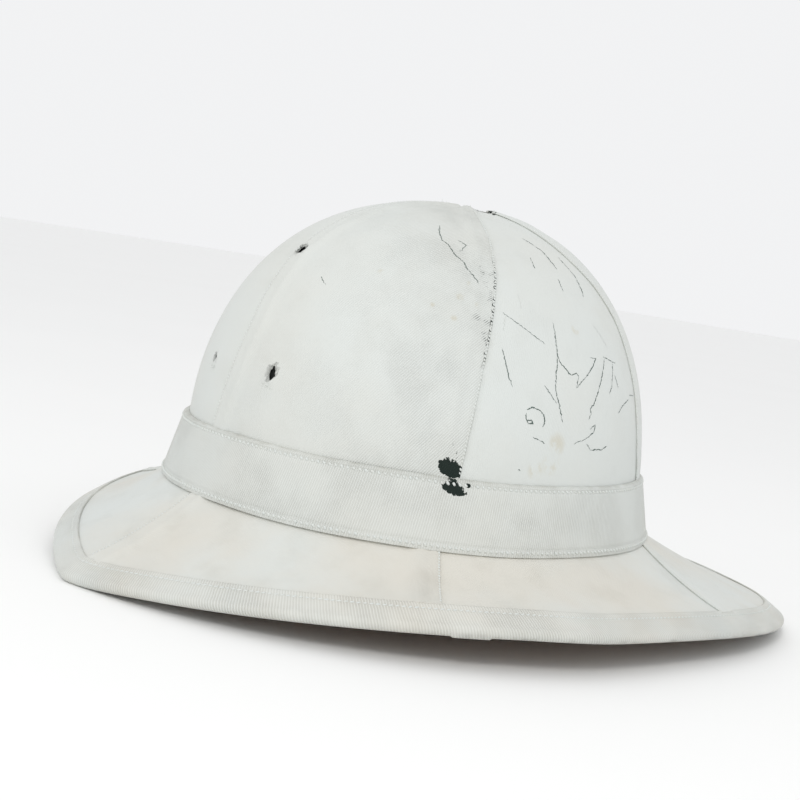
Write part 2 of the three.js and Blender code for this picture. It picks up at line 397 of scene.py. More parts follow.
def painted_twill(name, pitch, slant, rib, warmth, grime=0.25, marks=None, stains=(), rib_reach=15.0):
    """Twill under paint: rib pitch in mm, slant in degrees, rib strength, warm tint."""
    s = Shader(name)
    u, v = s.attribute("u"), s.attribute("v")
    a = math.radians(slant)
    wobble = s.noise(160, 3) * 0.5
    ribs = (u * math.cos(a) + v * math.sin(a) + wobble) * (2 * math.pi / pitch)
    ribs = ribs.math("SINE") * 0.5 + 0.5
    worn = s.noise(45, 4).step(0.38, 0.66)
    broad = s.noise(14, 5).step(0.3, 0.72)
    fine_paint = s.noise(420, 3)
    lumps = s.noise(90, 4)
    colour = s.mix(broad * warmth, PAINT, PAINT_WARM)
    # Painted shade, with some dirt: lapped edges, band folds and the tape's inner edge are darkened.
    crease_shade = s.attribute("crease_shade")
    dirt_and_shade = s.noise(70, 6).step(0.45, 0.8) * grime + crease_shade * 0.5 * s.noise(150, 4).step(0.3, 0.7)
    colour = s.mix(dirt_and_shade, colour, GRIME_AND_SHADE)
    seam = s.attribute("to_end").step(rib_reach, 3.0)
    # Painted shade: the rib valleys are darkened, most near the seams.
    valley = (1 - ribs) * (0.055 + seam * 0.26) * (0.75 + worn * 0.25)
    colour = s.mix(valley * rib * 1.35, colour, GRIME_AND_SHADE)
    if stains:
        colour = s.mix(spots(s, stains) * s.noise(180, 5).step(0.42, 0.62) * 0.34, colour, shade(190, 176, 140))
    height = ribs * (rib + seam * 0.5) * (0.35 + worn * 0.65) + fine_paint * 0.35 + lumps * 0.8
    roughness = 0.5 + broad * 0.12 + fine_paint * 0.08
    bare = marks(s, u, v, ribs) if marks else None
    if bare is not None:
        tint = s.mix(s.noise(300, 3), DARK_CLOTH, shade(24, 40, 34))
        colour = s.mix(bare, colour, tint)
        roughness = roughness + bare * 0.35
        height = height - bare * 1.2
    return s.finish(colour, roughness, height, 0.00022, 0.8)


def seam_wear(s, u, v, ribs):
    """Bare places on the front left panel: along its rear seam and at its foot."""
    edge_mm = s.attribute("to_end")
    grain = s.noise(260, 5)
    run = v.step(62.0, 70.0) * v.step(122.0, 112.0)
    dots = s.noise(620, 2).step(0.47, 0.53)
    on_edge = (edge_mm + grain * 2.4).step(2.5, 2.1) * dots * run
    near = edge_mm.step(9.5, 6.5) * edge_mm.step(0.8, 1.6)
    ribbed = near * ribs.step(0.3, 0.1) * s.noise(120, 4).step(0.53, 0.62) * run * 0.8
    du = (edge_mm - 4.6) * 0.2
    dv = (v - 160.6) * 0.3
    ragged = (grain - 0.5) * 3.4 + (s.noise(700, 3) - 0.5) * 1.6
    blot = (du * du + dv * dv + ragged).step(1.0, 0.85)
    speck_run = v.step(150.0, 156.0) * edge_mm.step(9.0, 7.0)
    specks = s.noise(700, 2).step(0.7, 0.73) * speck_run
    bare = on_edge.math("MAXIMUM", ribbed * 0.85)
    return bare.math("MAXIMUM", blot).math("MAXIMUM", specks)


def band_wear(s, u, v, ribs):
    """The bare blot at the top of the band, under the seam on the wearer's left."""
    at = s.attribute("turn")
    grain = s.noise(260, 5)
    du = (at - 423.0 - (v - 3.0) * 0.35) * 0.36
    dv = (v - 3.2) * 0.36
    ragged = (grain - 0.5) * 3.4 + (s.noise(700, 3) - 0.5) * 1.6
    blot = (du * du + dv * dv + ragged).step(1.0, 0.85)
    du = (at - 426.6) * 1.3
    dv = (v - 1.9) * 1.1
    dot = (du * du + dv * dv + (grain - 0.5) * 1.2).step(1.0, 0.9)
    return blot.math("MAXIMUM", dot)


def tape_wear(s, u, v, ribs):
    """Grey-green scuffs on the underside of the bead along the left and the back."""
    at = s.attribute("turn")
    low = s.attribute("low")
    where = at.step(410.0, 435.0) * at.step(560.0, 520.0)
    return low * where * s.noise(110, 6).step(0.42, 0.75) * 0.45


FRONT_STAINS = [(56, 92, 3.0), (61, 94, 2.4), (55, 103, 2.0), (48, 101, 1.6), (57, 84, 1.6), (30, 95, 2.2)]
SIDE_STAINS = [(89, 140, 6.0), (88, 148, 6.0), (84, 152, 5.0), (96, 90, 3.0)]
crown_paint = painted_twill("painted crown cloth", 0.8, 15, 0.3, 0.25, 0.06, stains=SIDE_STAINS)
worn_crown_paint = painted_twill("worn crown cloth", 0.9, 28, 0.6, 0.3, 0.06, seam_wear, FRONT_STAINS, 75.0)
brim_paint = painted_twill("painted brim cloth", 0.85, 40, 0.36, 0.9, 0.12)
band_paint = painted_twill("painted band", 0.95, 10, 0.75, 0.3, 0.05, band_wear)
tape_paint = painted_twill("painted tape", 1.05, -16, 0.9, 0.8, 0.1, tape_wear)

# %% Cork, bare cloth and thread
s = Shader("cork")
grains = s.node("ShaderNodeTexVoronoi", {}, {"Scale": 300.0, "Vector": s.place()}, "Distance")
crumbs = s.node("ShaderNodeTexVoronoi", {}, {"Scale": 300.0, "Vector": s.place()}, "Color")
colour = s.mix(crumbs, shade(128, 92, 60), shade(166, 128, 88))
colour = s.mix(grains.step(0.45, 0.75) * 0.6, colour, shade(84, 58, 38))
colour = s.mix(s.noise(240, 4).step(0.58, 0.7) * 0.7, colour, shade(82, 54, 34))
# Painted shade: the cork is coloured near black round each badge hole, so each hole looks deep and dark.
for turn, down, *_ in HOLES:
    middle = tuple((crown(turn, down) + PLACE) * MM)
    far = s.node("ShaderNodeVectorMath", {"operation": "DISTANCE"}, {0: s.place(), 1: middle}, "Value")
    colour = s.mix(far.step(0.008, 0.005), colour, shade(12, 16, 14))
cork_finish = s.finish(colour, 0.9, grains * 0.8 + s.noise(130, 4), 0.0004, 0.7)

s = Shader("bare cloth in a crack")
colour = s.mix(s.noise(500, 3), shade(52, 70, 64), shade(104, 118, 112))
crack_finish = s.finish(colour, 0.85, s.noise(900, 2), 0.0001)

s = Shader("bare cloth in a hole")
colour = s.mix(s.noise(500, 3), shade(8, 12, 10), shade(26, 36, 32))
dark_finish = s.finish(colour, 0.9, s.noise(900, 2), 0.0002)

s = Shader("painted thread")
colour = s.mix(s.noise(200, 4).step(0.35, 0.75) * 0.3, PAINT, PAINT_WARM)
thread_finish = s.finish(colour, 0.5, s.noise(1500, 2), 0.0001)
print("finishes", [m.name for m in bpy.data.materials if m.users == 0][:12])

# %% Floor
bpy.ops.object.select_all(action="DESELECT")
bpy.ops.mesh.primitive_plane_add(size=24)
floor = bpy.context.object
floor.name = "floor"
s = Shader("pale floor")
floor.data.materials.append(
    s.finish(s.mix(s.noise(3, 3), shade(250, 250, 249), shade(247, 247, 246)), 0.85)
)

# %% [markdown]
# ## Making a cloth piece
#
# A panel starts as a flat grid. Its points are then laid on the helmet and given the
# small reliefs that seams make. Solidify adds the cloth's thickness inwards and the
# result is applied. A ring, such as the band, starts as a torus, whose points already
# run round one section after another, and takes the shape of its own section.

# %% Helpers for pieces
def only(ob):
    bpy.ops.object.select_all(action="DESELECT")
    ob.select_set(True)
    bpy.context.view_layer.objects.active = ob


def set_values(ob, name, values):
    layer = ob.data.attributes.new(name, "FLOAT", "POINT")
    layer.data.foreach_set("value", np.asarray(values, np.float32).ravel())


def move_points(ob, where):
    """Gives a mesh its points, in millimetres about the foot oval."""
    co = (where.reshape(-1, 3) + PLACE) * MM
    ob.data.vertices.foreach_set("co", co.astype(np.float32).ravel())
    ob.data.update()


def keep(ob, name, material, slot, *nodes):
    ob.name = ob.data.name = name
    ob.data.materials.clear()
    ob.data.materials.append(material)
    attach(ob, "root")
    if nodes:
        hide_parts(*nodes)


def shade_smooth(ob, angle=40):
    only(ob)
    bpy.ops.object.shade_smooth_by_angle(angle=math.radians(angle))


def face_out(ob):
    only(ob)
    bpy.ops.object.mode_set(mode="EDIT")
    bpy.ops.mesh.select_all(action="SELECT")
    bpy.ops.mesh.normals_make_consistent(inside=False)
    bpy.ops.object.mode_set(mode="OBJECT")


def sheet_grid(rows, columns):
    """A flat grid whose points run column by column within each row."""
    bpy.ops.object.select_all(action="DESELECT")
    bpy.ops.mesh.primitive_grid_add(x_subdivisions=columns - 1, y_subdivisions=rows - 1, size=1)
    bpy.ops.object.mode_set(mode="EDIT")
    bpy.ops.mesh.select_all(action="SELECT")
    bpy.ops.mesh.flip_normals()
    bpy.ops.object.mode_set(mode="OBJECT")
    return bpy.context.object


def set_round(ob, name, values):
    """A running value round a ring, kept per face corner so that it closes with no jump."""
    corner = np.empty(len(ob.data.loops), np.int32)
    ob.data.loops.foreach_get("vertex_index", corner)
    faces = values.ravel()[corner].reshape(-1, 4)
    steps = np.diff(values[:, 0])
    total = values[-1, 0] - values[0, 0] + steps.mean()
    if name == "turn":
        total = 360.0
    else:
        faces, total = faces * round(total) / total, round(total)
    over = np.ptp(faces, axis=1, keepdims=True) > total / 2
    faces = np.where(over & (faces < values[0, 0] + total / 2), faces + total, faces)
    layer = ob.data.attributes.new(name, "FLOAT", "CORNER")
    layer.data.foreach_set("value", faces.astype(np.float32).ravel())


def ring(sections, values=None):
    """A closed ring from sections, an array of turns by points by xyz."""
    turns, count = sections.shape[:2]
    bpy.ops.object.select_all(action="DESELECT")
    bpy.ops.mesh.primitive_torus_add(major_segments=turns, minor_segments=count)
    ob = bpy.context.object
    move_points(ob, sections)
    for name, value in {"to_end": 6.5, **(values or {})}.items():
        value = np.broadcast_to(value, (turns, count))
        if name in ("u", "turn"):
            set_round(ob, name, value)
        else:
            set_values(ob, name, value)
    face_out(ob)
    return ob


def row_lengths(p):
    """Running distance along the first axis but one of an array of points."""
    far = np.cumsum(np.linalg.norm(np.diff(p, axis=1), axis=2), axis=1)
    return np.concatenate([np.zeros((len(p), 1)), far], axis=1)


random.seed(7)
print("helpers ready")

# %% [markdown]
# ## Cork crown and brim
#
# The cork is hidden by cloth outside and plain inside. It is one ring of sections: down
# the outside of the crown, out over the brim, round its edge, back under and up the
# inside to the small hole at the top, where the ventilator has gone.

# %% Cork
COVER = CLOTH + GAP
APEX_HOLE = 7.0
turns = np.arange(0, 360, 1.5)[:, None]


def cork_section(depth, rows=26, brim_rows=12, edge_depth=None):
    parts = []
    share = np.linspace(0, 1, rows)[None, :]
    down = APEX_HOLE + (crown_length(turns) - APEX_HOLE) * share
    parts.append(crown(turns, down) - crown_out(turns, down) * depth)
    parts.append(foot(turns, FLARE * 0.5 - depth, BAND_HEIGHT / 2))
    parts.append(foot(turns, FLARE - depth, 0.0))
    share = np.linspace(0, 1, brim_rows)[None, :] + 0 * turns
    deep = depth + ((edge_depth or depth) - depth) * share[..., None]
    parts.append(brim(turns, share) - brim_out(turns, share) * deep)
    return np.concatenate(parts, axis=1)


def bead_points(turn, radius, angles):
    """Points round the bead at the brim's edge, at angles up from straight out."""
    middle = edge(edge_turn(turn))
    run = middle - brim(turn, 1.0)
    run[..., 2] = 0
    run /= np.linalg.norm(run, axis=-1, keepdims=True)
    a = np.radians(np.asarray(angles, float))[None, :, None]
    return middle + run * np.cos(a) * radius + np.array([0, 0, 1.0]) * np.sin(a) * radius


outer = cork_section(COVER)
inner = cork_section(COVER + CORK, edge_depth=COVER + 2.3)
tip = bead_points(turns, BEAD - 0.9 - GAP, [90, 55, 20, -15, -50, -85, -115])
cork = ring(np.concatenate([outer, tip, inner[:, ::-1]], axis=1))
keep(cork, "cork_body", cork_finish, "cork", "crown_shell", "brim_shell")
shade_smooth(cork, 60)
print("cork", len(cork.data.polygons), "faces")

# %% [markdown]
# ## Crown panels
#
# Every other panel laps over its neighbours. Its edge is folded and sewn down, and the
# neighbour's spare cloth under it, about 11 mm wide, lifts it a little and then lets it
# fall in a soft ridge. The lapping panels get that relief, and the others simply run on
# under them. At the top the cloth is torn ragged.

# %% Seam lines
# turn of each crown seam, at distances down from the top
SEAMS = [
    {0: 0, 70: -1.2, 95: -2.2, 130: -1.0, 150: -1.9, 176: -4.3},
    {0: 50, 20: 55, 36: 61.5, 51: 65.5, 75: 67.4, 100: 66.7, 120: 65.8, 163: 64.8},
    {0: 110, 54: 117.5, 68: 121, 86: 123.3, 105: 122, 130: 122, 143: 123.5, 157: 127.5},
    {0: 180, 60: 181, 120: 179.5, 160: 180.5},
    {0: 244, 54: 242, 86: 238, 130: 237.5, 157: 235},
    {0: 302, 36: 298, 75: 293, 120: 294.5, 163: 295.5},
]
# turn of each brim seam at the foot and at the tape
BRIM_SEAMS = [(-2.5, -0.5), (62.0, 62.5), (127.3, 127.0), (180.5, 180.0), (233.0, 233.5), (298.0, 297.5)]
LAP, LAP_RISE = 11.0, 0.8
# distances in from a lapped edge at which the cloth gets a line of points
LAP_LINES = [0, 0.3, 0.8, 1.4, 1.9, 2.3, 2.7, 3.2, 4.2, 5.6, 7, 8.2, 9, 9.6, 10.2, 10.8, 11.5, 12.4, 13.5]


def seam_turn(k, down):
    seam = SEAMS[k % 6]
    wobble = np.interp(down, list(seam), list(seam.values()))
    return wobble + 360 * (k // 6)


def lap_relief(x):
    """Height of a lapping panel at a distance in from its sewn edge."""
    rise = LAP_RISE * (1 - smooth(LAP - 3.2, LAP + 1.8, x))
    roll = -0.4 * np.exp(-x / 0.35)
    groove = -0.16 * np.exp(-(((x - 1.1) / 0.4) ** 2))
    ridge = 0.26 * np.exp(-(((x - 7.4) / 1.4) ** 2)) - 0.14 * np.exp(-(((x - 4.6) / 1.3) ** 2))
    return rise + roll + groove + ridge


def columns_for(width, middle, over):
    """Distances across a row, crowded near lapped edges; width is an array of rows."""
    if not over:
        return width[:, None] * np.linspace(0, 1, middle + 2 * len(LAP_LINES))[None, :]
    shrink = np.minimum(1.0, 0.42 * width / LAP_LINES[-1])[:, None]
    near = np.array(LAP_LINES)[None, :] * shrink
    gap = np.linspace(0, 1, middle + 2)[None, 1:-1]
    mid = near[:, -1:] + (width[:, None] - 2 * near[:, -1:]) * gap
    return np.concatenate([near, mid, width[:, None] - near[:, ::-1]], axis=1)


def lay_panel(surface, out, start, end, place, over, middle):
    """Points of a panel and their distances across, from seam to seam."""
    rows = place.shape[0]
    guide_u = np.linspace(0, 1, 60)[None, :]
    guide_turn = start[:, None] + (end - start)[:, None] * guide_u
    guide = surface(guide_turn, place(guide_turn) if callable(place) else place[:, None])
    far = row_lengths(guide)
    width = far[:, -1]
    across = columns_for(width, middle, over)
    share = np.stack([np.interp(across[i], far[i], guide_u[0]) for i in range(rows)])
    return share, across, width


def wander(turn, place, size, seed):
    """Slow uneven swell of hand-laid cloth."""
    a = np.sin(np.radians(turn * 5 + seed * 70)) * np.sin(place / 17 + seed)
    b = np.sin(np.radians(turn * 11 + seed * 40) + place / 9)
    return size * (0.6 * a + 0.4 * b)


def hole_rims(turn, down):
    """Cloth pushed up round the badge's holes."""
    lift = 0.0
    for t, d, wide, tall in HOLES:
        mm = np.linalg.norm(crown(t + 0.5, d) - crown(t - 0.5, d))
        r = np.hypot((wrap(turn - t) * mm) / wide, (down - d) / tall)
        lift = lift + 0.45 * np.exp(-(((r - 1.15) / 0.45) ** 2))
    return lift


def make_panel(name, surface, out, seams, place, over, middle, ragged=None, swell=0.12):
    start, end = seams
    if not over:
        spare = 7.0 / np.maximum(np.linalg.norm(
            surface(start + 1, place) - surface(start, place), axis=-1), 0.12)
        spare = np.minimum(spare, 0.3 * (end - start))
        start, end = start - spare, end + spare
    share, across, width = lay_panel(surface, out, start, end, place, over, middle)
    turn = start[:, None] + (end - start)[:, None] * share
    where = place[:, None] + (ragged(turn, place[:, None]) if ragged else 0)
    p, n = surface(turn, where), out(turn, where)
    from_end = width[:, None] - across
    shrink = np.minimum(1.0, 0.42 * width / LAP_LINES[-1])[:, None]
    nearest = np.minimum(across, from_end) / shrink
    relief = lap_relief(nearest) if over else np.zeros_like(across)
    relief = relief + wander(turn, where, swell, 13)
    if surface is crown:
        relief = relief + hole_rims(turn, where)
    p = p + n * relief[..., None]
    ob = sheet_grid(*across.shape)
    move_points(ob, p)
    u = across - width[:, None] / 2
    set_values(ob, "u", u)
    set_values(ob, "v", np.broadcast_to(where * (45 if surface is brim else 1), u.shape))
    set_values(ob, "to_end", from_end if over else np.full_like(u, 99.0))
    # Painted shade: darkening along each lapped edge, at its fold and just beside it on the cloth underneath.
    tight = np.exp(-((nearest / 0.9) ** 2)) if over else np.exp(-((nearest - 7) / 1.5) ** 2)
    set_values(ob, "crease_shade", tight * 0.35)
    only(ob)
    thick = ob.modifiers.new("cloth", "SOLIDIFY")
    thick.thickness, thick.offset, thick.use_even_offset = CLOTH * MM, -1, False
    bpy.ops.object.modifier_apply(modifier="cloth")
    return ob


# %% Crown panels
CROWN_ROWS = 110
torn = [random.uniform(-1, 1) for _ in range(64)]


def torn_top(turn, place):
    """The torn upper edge: the first rows start at uneven distances from the top."""
    ragged = np.interp(turn % 360, np.linspace(0, 360, 64), torn)
    fine_rag = np.sin(np.radians(turn * 23)) * 0.5
    return (ragged * 1.9 + fine_rag) * np.exp(-(place - 9.5) / 4.0)


panels = []
share = np.linspace(0, 1, CROWN_ROWS) ** 1.05
for k in range(6):
    mid_turn = (seam_turn(k, 80) + seam_turn(k + 1, 80)) / 2
    low = crown_length(mid_turn) + BAND_HEIGHT - GAP - 3
    down = 9.5 + (low - 9.5) * share
    seams = (seam_turn(k, down), seam_turn(k + 1, down))
    panel = make_panel(f"crown_panel_{k + 1}", crown, crown_out, seams, down, k % 2 == 0, 50, torn_top)
    finish = worn_crown_paint if k == 0 else crown_paint
    keep(panel, f"crown_cloth_{k + 1}", finish, "crown_cloth", f"crown_panel_{k + 1}")
    shade_smooth(panel, 50)
    panels.append(panel)


def punch(panel, turn, down, wide, tall):
    """Cuts a small uneven hole through a panel."""
    bpy.ops.object.select_all(action="DESELECT")
    bpy.ops.mesh.primitive_cylinder_add(vertices=18, radius=1, depth=1)
    tool = bpy.context.object
    middle = Vector((crown(turn, down) + PLACE) * MM)
    n = Vector(crown_out(turn, down))
    side = Vector(crown(turn + 0.5, down) - crown(turn - 0.5, down)).normalized()
    turned = Matrix((side, n.cross(side), n)).transposed()
    uneven = [random.uniform(0.78, 1.15) for _ in range(18)]
    for i, v in enumerate(tool.data.vertices):
        scale = uneven[i // 2]
        v.co = middle + turned @ Vector((v.co.x * wide * scale, v.co.y * tall * scale, v.co.z * 6)) * MM
    only(panel)
    cut = panel.modifiers.new("hole", "BOOLEAN")
    cut.operation, cut.object, cut.solver = "DIFFERENCE", tool, "MANIFOLD"
    bpy.ops.object.modifier_apply(modifier="hole")
    bpy.data.objects.remove(tool)
    print(panel.name, len(panel.data.polygons), "faces after a hole")


for k, hole in ((0, 0), (5, 0), (5, 1), (0, 2)):
    punch(panels[k], *HOLES[hole])
print("crown panels", sum(len(p.data.polygons) for p in panels), "faces")

# %% [markdown]
# ## Brim panels
#
# The brim's cloth is cut in six as well, with the same lapped seams below those of the
# crown, so the same recipe is used on the brim's surface.

# %% Brim panels
brim_share = np.linspace(0.03, 1.04, 34)
brim_panels = []
for k in range(6):
    a0, a1 = BRIM_SEAMS[k]
    b0, b1 = BRIM_SEAMS[(k + 1) % 6]
    lapped = 360 if k == 5 else 0
    seams = (a0 + (a1 - a0) * brim_share, b0 + lapped + (b1 - b0) * brim_share)
    panel = make_panel(f"brim_panel_{k + 1}", brim, brim_out, seams, brim_share, k % 2 == 0, 60)
    keep(panel, f"brim_cloth_{k + 1}", brim_paint, "brim_cloth", f"brim_panel_{k + 1}")
    shade_smooth(panel, 50)
    brim_panels.append(panel)
print("brim panels", sum(len(p.data.polygons) for p in brim_panels), "faces")

# %% [markdown]
# ## Band round the foot
#
# The band is a strip of the same cloth, folded in at both edges and sewn near each. The
# fold makes a soft round edge, and the stitches pull a shallow groove along it.

# %% Hat band
def band_out(height):
    """How far the band stands out from the foot's cloth, by height above its foot."""
    inset = np.minimum(height, BAND_HEIGHT + 0.3 - height)
    groove = -0.3 * np.exp(-(((inset - 2.0) / 0.7) ** 2))
    fold = 0.15 * np.exp(-(((inset - 0.8) / 0.7) ** 2))
    return 2.3 + groove + fold


def band_face(turn, height, out=0.0):
    """A point on the band, which wanders a little as hand-laid cloth does."""
    drift = 0.35 * np.sin(np.radians(turn * 3)) + 0.2 * np.sin(np.radians(turn * 8 + 40))
    z = height + drift * 0.6
    return foot(turn, FLARE * (1 - z / BAND_HEIGHT) + out + drift * 0.2, z)


# the band's ends meet at the back, in the short gap between first and last section
turns = (180.4 + np.linspace(0, 359.6, 256))[:, None]
LOW, HIGH = -0.9, BAND_HEIGHT + 0.3
levels = np.array([LOW, *np.linspace(LOW + 0.15, 5, 14), *np.linspace(7, 19, 6), *np.linspace(21, HIGH - 0.15, 14), HIGH])
stand = np.array([1.6, *[band_out(z) for z in levels[1:-3]], 1.95, 1.6, 1.2])
flesh_stand = np.where(levels > BAND_HEIGHT - 2, 0.2, 0.9)
face = band_face(turns, levels[None, :], stand[None, :])
flesh = band_face(turns, levels[None, :], flesh_stand[None, :])
section = np.concatenate([face, flesh[:, ::-1]], axis=1)
round_mm = row_lengths(foot(turns.T, 3.0, 0.0))[0][:, None]
v_band = np.concatenate([HIGH - levels, HIGH - levels[::-1]])[None, :]
inset = np.minimum(levels - LOW, HIGH - levels)
# Painted shade, with some dirt, along both folded edges of the band.
edge_shade_and_dirt = np.exp(-((inset / 0.8) ** 2)) * 0.6
values = {
    "u": round_mm, "v": v_band, "turn": turns, "crease_shade": np.concatenate([edge_shade_and_dirt, edge_shade_and_dirt[::-1]])[None, :],
}
band = ring(section, values)
keep(band, "band", band_paint, "band_cloth", "hat_band")
shade_smooth(band, 60)
print("band", len(band.data.polygons), "faces")

# %% [markdown]
# ## Tape round the brim's edge
#
# The tape starts on top of the brim, rolls round the edge in a bead and ends under it.
# Its ends overlap a little under the wearer's left side, where the tape is double.

# %% Edge tape
def tape_section(turn):
    top = brim(turn, 1.0)
    n = brim_out(turn, 1.0)
    middle = edge(edge_turn(turn))
    run = middle - top
    run[..., 2] = 0
    run /= np.linalg.norm(run, axis=-1, keepdims=True)
    start = top + run * 0.3
    crest = bead_points(turn, BEAD, [78.0])
    share = np.array([0.0, 0.03, 0.08, 0.16, 0.26, 0.33, 0.4, 0.5, 0.65, 0.8, 0.92])[None, :, None]
    lift = np.array([0.25, 0.62, 0.85, 0.9, 0.82, 0.6, 0.82, 0.9, 0.9, 0.8, 0.6])[None, :, None]
    slope = (start + n * 0.0) * (1 - share) + crest * share + n * (lift - 0.55 * share)
    bead = bead_points(turn, BEAD, np.linspace(70, -110, 15))
    low = top + run * 0.6 - n * (COVER + 2.3 + GAP + 0.9)
    low_in = top + run * 0.6 - n * (COVER + 2.3 + GAP)
    share = np.array([0.15, 0.35, 0.6, 0.85, 1.0])[None, :, None]
    under = bead[:, -1:] * (1 - share) + low * share
    inner = bead_points(turn, BEAD - 0.9, [-120, -60, 0, 60, 110])
    inside = start - n * 0.3
    return np.concatenate([slope, bead, under, low_in, inner, inside], axis=1)


# sections stand closer at the peak and where the ends overlap; a torus has 256 at most
stops = {0: 0, 12: 24, 60: 49, 76: 81, 172: 131, 188: 143, 348: 227, 360: 251}
turns = np.interp(np.arange(251.0), list(stops.values()), list(stops))
turns = np.concatenate([turns[137:], turns[:137] + 360])[:, None]
section = tape_section(turns)
count = section.shape[1]
outer_points = 11 + 15 + 5
middle = edge(edge_turn(turns))
double = smooth(424.0, 424.6, turns) * (1 - smooth(432.0, 432.4, turns))
away = section - middle
away /= np.linalg.norm(away, axis=-1, keepdims=True)
is_outer = (np.arange(count) >= 20) & (np.arange(count) < outer_points - 1)
section = section + away * (is_outer[None, :, None] * double[..., None] * 0.55)
round_mm = row_lengths(middle.transpose(1, 0, 2))[0][:, None]
across = row_lengths(section)
low = np.clip(-away[..., 2] * 1.6 - 0.1, 0, 1) * (np.arange(count) >= 14)[None, :]
# Painted shade where the tape's inner edge meets the brim.
crease_shade = np.zeros(count)
crease_shade[:2] = 0.7
values = {"u": round_mm, "v": across, "turn": turns, "low": low, "crease_shade": crease_shade[None, :]}
tape = ring(section, values)
keep(tape, "edge_tape", tape_paint, "binding_tape", "edge_binding")
shade_smooth(tape, 60)
print("tape", len(tape.data.polygons), "faces")

# %% [markdown]
# ## Stitches
#
# A lockstitch shows as a row of short thick loops, each pulled down at its ends. One is
# modelled as a low ball, then set end to end along every sewn line: twice round the
# band, once round the tape and along both sides of each lapped seam.

# %% Stitches
def frames_on(path, normals, pitch, size, slant=0.0, closed=False, seed=1):
    """Places every `pitch` mm along a path: a 3 by 3 of half sizes and a middle each."""
    rng = np.random.default_rng(seed)
    far = np.concatenate([[0], np.cumsum(np.linalg.norm(np.diff(path, axis=0), axis=1))])
    n = max(int(far[-1] / pitch), 1)
    at = (np.arange(n) + 0.5) * far[-1] / n
    pick = lambda a, t: np.stack([np.interp(t, far, a[:, i]) for i in range(3)], -1)
    middle, up = pick(path, at), pick(normals, at)
    along = pick(path, at + 0.5) - pick(path, at - 0.5)
    along /= np.linalg.norm(along, axis=1, keepdims=True)
    side = np.cross(up, along)
    a = np.radians(slant + rng.normal(0, 5, n))[:, None]
    along, side = along * np.cos(a) + side * np.sin(a), side * np.cos(a) - along * np.sin(a)
    grow = rng.uniform(0.85, 1.12, (n, 1))
    axes = np.stack([along * size[0] * grow, side * size[1] * grow, up * size[2]], axis=2)
    return middle, axes


def stamp(name, shape, places, material, slot):
    """Copies one modelled shape to many places and joins them as a single piece."""
    middle = np.concatenate([m for m, _ in places])
    axes = np.concatenate([a for _, a in places])
    co = np.array([v.co for v in shape.data.vertices])
    faces = np.array([list(f.vertices) for f in shape.data.polygons], dtype=object)
    p = np.einsum("nij,mj->nmi", axes, co) + middle[:, None, :]
    every = [[int(v) + i * len(co) for v in f] for i in range(len(p)) for f in faces]
    mesh = bpy.data.meshes.new(name)
    mesh.from_pydata([(0, 0, 0)] * (len(p) * len(co)), [], every)
    ob = bpy.data.objects.new(name, mesh)
    bpy.context.scene.collection.objects.link(ob)
    move_points(ob, p)
    face_out(ob)
    keep(ob, name, material, slot)
    shade_smooth(ob, 80)
    bpy.data.objects.remove(shape)
    print(name, len(p), "copies of", len(faces), "faces")
    return ob


def loop_shape():
    bpy.ops.object.select_all(action="DESELECT")
    bpy.ops.mesh.primitive_uv_sphere_add(segments=8, ring_count=4, radius=1)
    ob = bpy.context.object
    only(ob)
    bpy.ops.object.mode_set(mode="EDIT")
    bpy.ops.mesh.select_all(action="SELECT")
    bpy.ops.transform.rotate(value=math.pi / 2, orient_axis="Y", center_override=(0, 0, 0))
    bpy.ops.object.mode_set(mode="OBJECT")
    return ob


every_turn = np.arange(0, 360.5, 0.5)
places = []
for height in (LOW + 1.9, HIGH - 2.0):
    path = band_face(every_turn, height, band_out(height) + 0.08)
    normal = foot(every_turn, 1, 0.0) - foot(every_turn, 0, 0.0)
    normal /= np.linalg.norm(normal, axis=1, keepdims=True)
    places.append(frames_on(path, normal, 2.4, (0.85, 0.55, 0.52), slant=-45, seed=int(height) + 2))
stamp("band_stitches", loop_shape(), places, thread_finish, "band_cloth")

ring_turn = np.arange(0, 360.5, 0.5)[:, None]
at_groove = tape_section(ring_turn)[:, 5]
normal = brim_out(ring_turn, 1.0)[:, 0]
places = [frames_on(at_groove + normal * 0.05, normal, 2.3, (0.95, 0.42, 0.36), slant=20, seed=5)]
stamp("tape_stitches", loop_shape(), places, thread_finish, "binding_tape")


def seam_places(surface, out, seam, place, side, seed):
    """Stitches a little inside a lapped edge; side is 1 where the lap lies after it."""
    mm = np.linalg.norm(surface(seam + 0.5, place) - surface(seam - 0.5, place), axis=-1)
    turn = seam + side * 0.5 / mm
    relief = lap_relief(0.5) + wander(turn, place, 0.12, 13) - 0.1
    n = out(turn, place)
    return frames_on(surface(turn, place) + n * np.asarray(relief)[..., None], n, 1.5, (0.62, 0.42, 0.4), slant=28, seed=seed)


places, brim_places = [], []
for k in range(6):
    side = 1 if k % 2 == 0 else -1
    down = np.arange(24.0, crown_length(SEAMS[k][max(SEAMS[k])]) - 0.5, 1.0)
    places.append(seam_places(crown, crown_out, seam_turn(k, down), down, side, k))
    share = np.linspace(0.06, 0.97, 50)
    a0, a1 = BRIM_SEAMS[k]
    brim_places.append(seam_places(brim, brim_out, a0 + (a1 - a0) * share, share, side, k + 9))
stamp("crown_stitches", loop_shape(), places, thread_finish, "crown_cloth")
stamp("brim_stitches", loop_shape(), brim_places, thread_finish, "brim_cloth")

# %% [markdown]
# ## Cracks in the paint
#
# Stiff paint on soft cloth cracks where the hat was knocked. A crack is a broken hair
# line, so each is a narrow strip laid on the crown along a few points, with uneven
# width and a slight shake. Turn and distance down say where each bend is.

